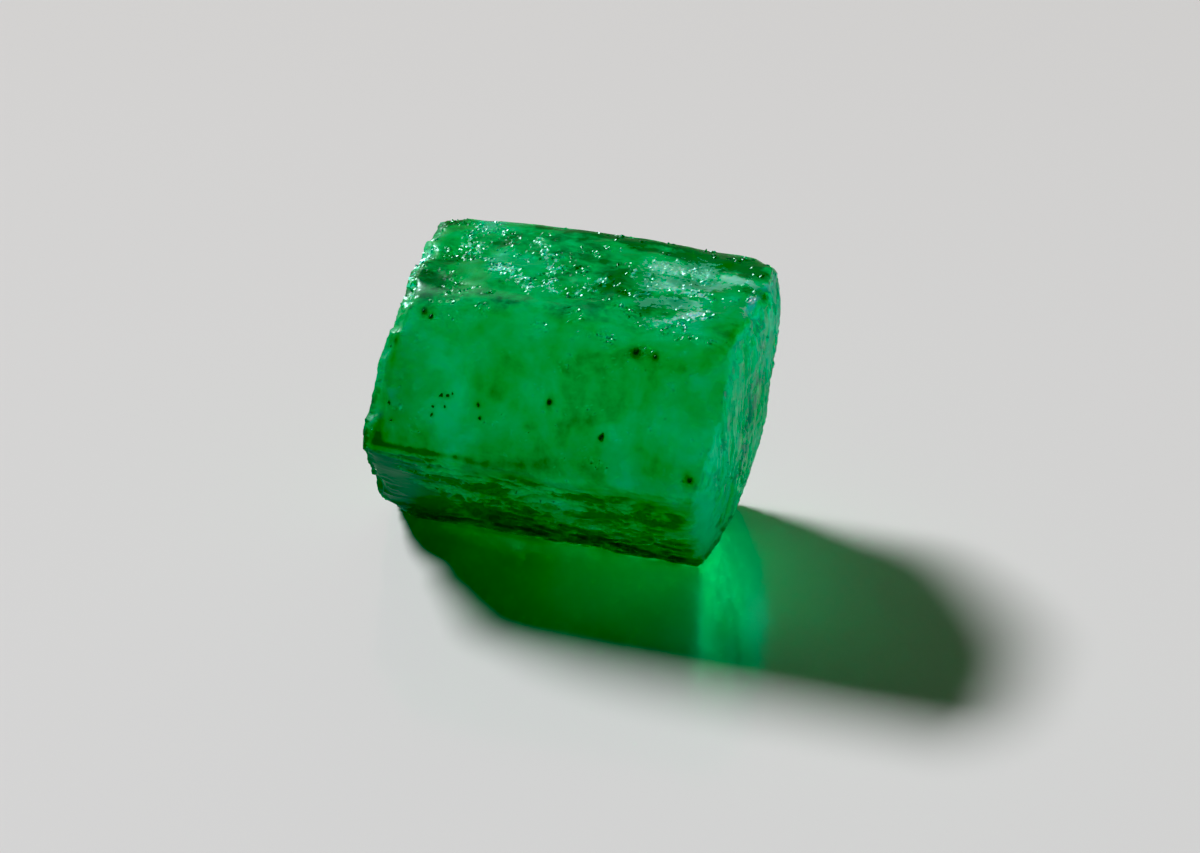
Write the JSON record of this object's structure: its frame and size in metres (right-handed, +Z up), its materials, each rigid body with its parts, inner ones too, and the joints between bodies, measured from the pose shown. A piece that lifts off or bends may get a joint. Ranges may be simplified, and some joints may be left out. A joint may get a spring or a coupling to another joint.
{
  "type": "raw emerald crystal",
  "caption": "Rough green beryl: a stubby six-sided prism with broken ends and chipped edges, lying on one of its long faces.",
  "frame": {"origin": "centre of the crystal's box at its lowest level, on the surface that it lies on", "axes": "+X along the prism towards the domed broken end, +Y to the back, +Z up"},
  "size_m": [0.0124, 0.0098, 0.0085],
  "materials": {
    "emerald": "clear green stone, cloudy with veils, waxy to frosted on its natural faces"
  },
  "bodies": {
    "root": {"emerald_crystal": "emerald"}
  },
  "joints": []
}
